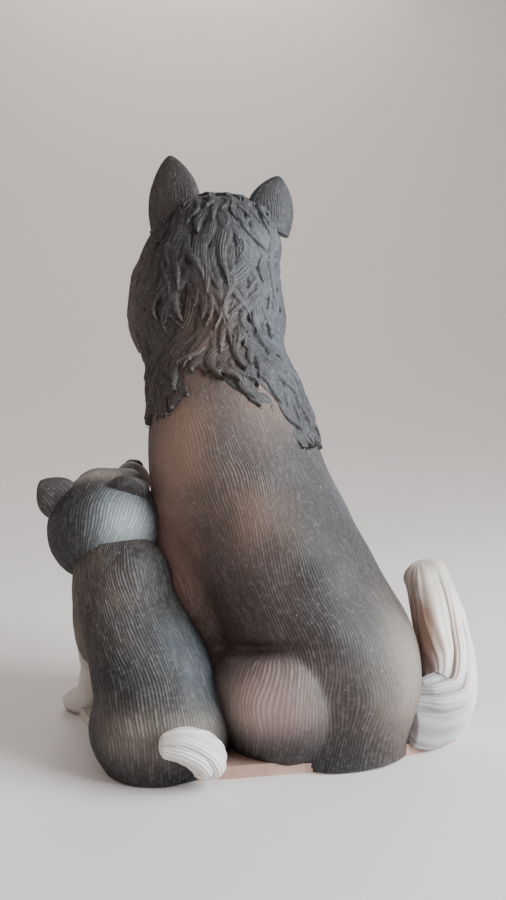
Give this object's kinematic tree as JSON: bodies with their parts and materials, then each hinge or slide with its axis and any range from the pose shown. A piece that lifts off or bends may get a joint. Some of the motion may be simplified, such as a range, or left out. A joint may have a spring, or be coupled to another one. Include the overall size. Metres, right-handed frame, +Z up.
{
  "type": "ceramic dog figurine",
  "caption": "Hollow painted ceramic figurine of a seated shaggy dog with a pup leaning on its side, on a thin slab with vent holes.",
  "frame": {"origin": "on the underside of the base slab, which is the plane z = 0", "axes": "+Z up, -Y the way the mother's face looks, +X towards the pup"},
  "size_m": [0.1157, 0.1091, 0.1615],
  "materials": {
    "mother_coat": "matt airbrushed underglaze over engraved fur",
    "dark_mane": "matt dark underglaze, dry-brushed on the locks",
    "cream_tail": "matt cream underglaze",
    "pup_coat": "matt airbrushed underglaze over engraved fur",
    "pale_paw": "matt off-white underglaze",
    "base_clay": "bare matt peach-brown clay"
  },
  "bodies": {
    "root": {"base_plate": "base_clay", "mother_body": "mother_coat", "mother_head": "dark_mane", "mother_left_ear": "dark_mane", "mother_left_foreleg": "mother_coat", "mother_left_hind_foot": "mother_coat", "mother_mane": "dark_mane", "mother_right_ear": "dark_mane", "mother_right_foreleg": "mother_coat", "mother_right_hind_foot": "mother_coat", "mother_tail": "cream_tail", "pup_body": "pup_coat", "pup_head": "pup_coat", "pup_left_ear": "pup_coat", "pup_left_foreleg": "pale_paw", "pup_left_hind_foot": "pale_paw", "pup_right_ear": "pup_coat", "pup_right_foreleg": "pale_paw", "pup_right_hind_foot": "pale_paw", "pup_tail": "cream_tail"}
  },
  "joints": []
}
